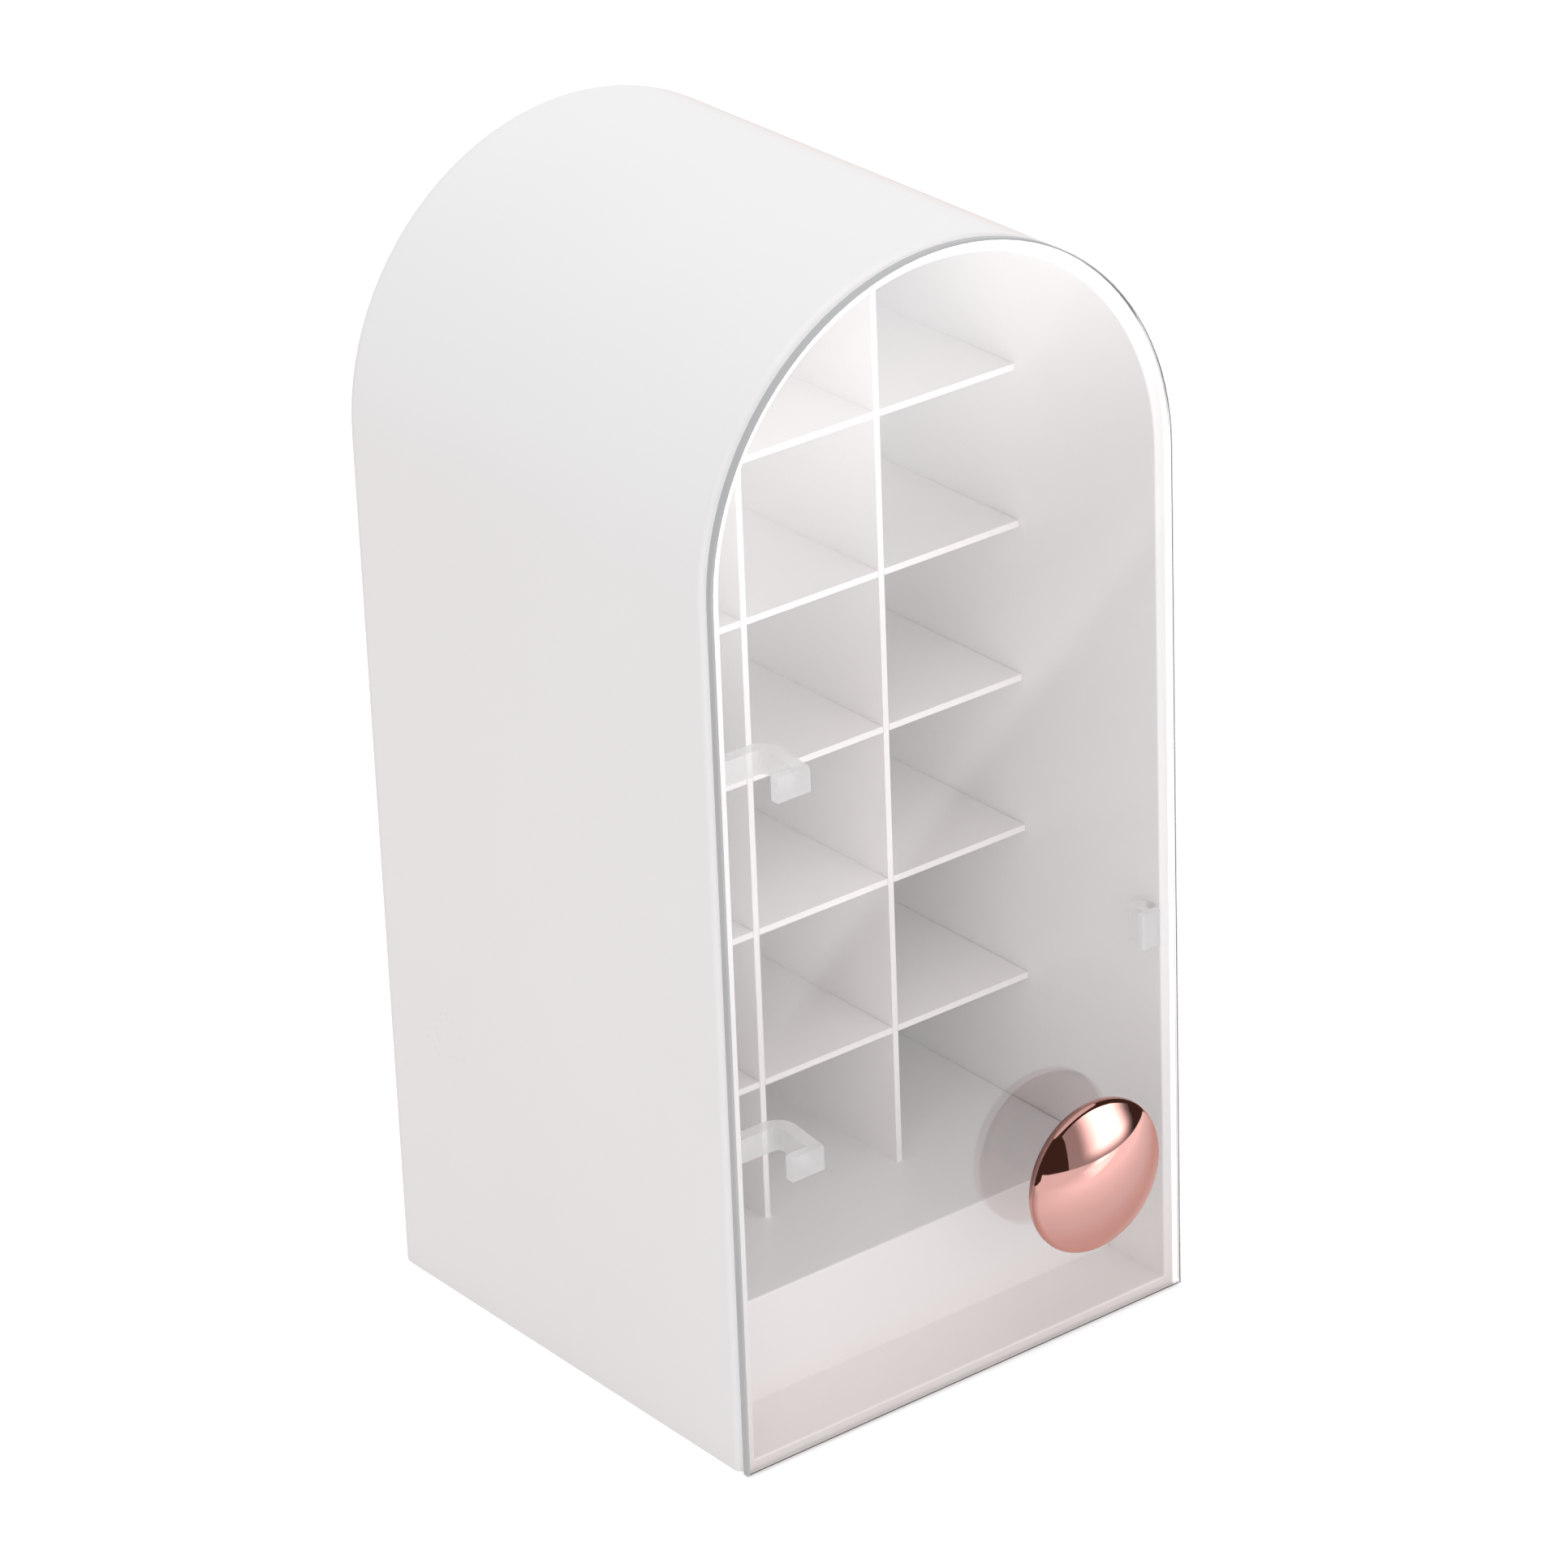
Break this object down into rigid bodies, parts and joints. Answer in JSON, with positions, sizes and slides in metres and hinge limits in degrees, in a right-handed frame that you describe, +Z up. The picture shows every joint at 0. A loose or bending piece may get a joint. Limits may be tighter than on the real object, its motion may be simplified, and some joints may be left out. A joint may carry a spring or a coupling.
{
  "type": "lipstick organizer",
  "caption": "Arch-topped desktop organizer with a grid of small compartments for lipsticks, a clear hinged front door and a round pull knob.",
  "frame": {"origin": "middle of the case's flat underside", "axes": "+Z up, +Y towards the back, +X to the right as seen from the door; the door is at -Y"},
  "size_m": [0.1, 0.1156, 0.215],
  "materials": {
    "case_white": "satin-gloss white moulded plastic",
    "grid_white": "satin white sheet plastic",
    "door_clear": "clear polished acrylic sheet",
    "clear_fittings": "clear moulded plastic",
    "knob_rose": "mirror-polished rose-gold plating",
    "steel": "plain bright steel"
  },
  "bodies": {
    "case": {"base_platform": "case_white", "case_shell": "case_white", "catch_keeper": "clear_fittings", "divider_left": "grid_white", "divider_right": "grid_white", "hinge_bracket_lower": "clear_fittings", "hinge_bracket_upper": "clear_fittings", "hinge_pin_lower": "steel", "hinge_pin_upper": "steel", "shelf_1": "grid_white", "shelf_2": "grid_white", "shelf_3": "grid_white", "shelf_4": "grid_white", "shelf_5": "grid_white"},
    "door": {"door_catch": "clear_fittings", "door_panel": "door_clear", "hinge_arm_lower": "clear_fittings", "hinge_arm_upper": "clear_fittings", "knob": "knob_rose", "knob_screw": "steel"}
  },
  "joints": [
    {"name": "door_hinge", "type": "hinge", "parent": "case", "child": "door", "pos_m": [-0.0453, -0.0391, 0.09215], "axis": [0, 0, -1], "range_deg": [0, 90]}
  ]
}
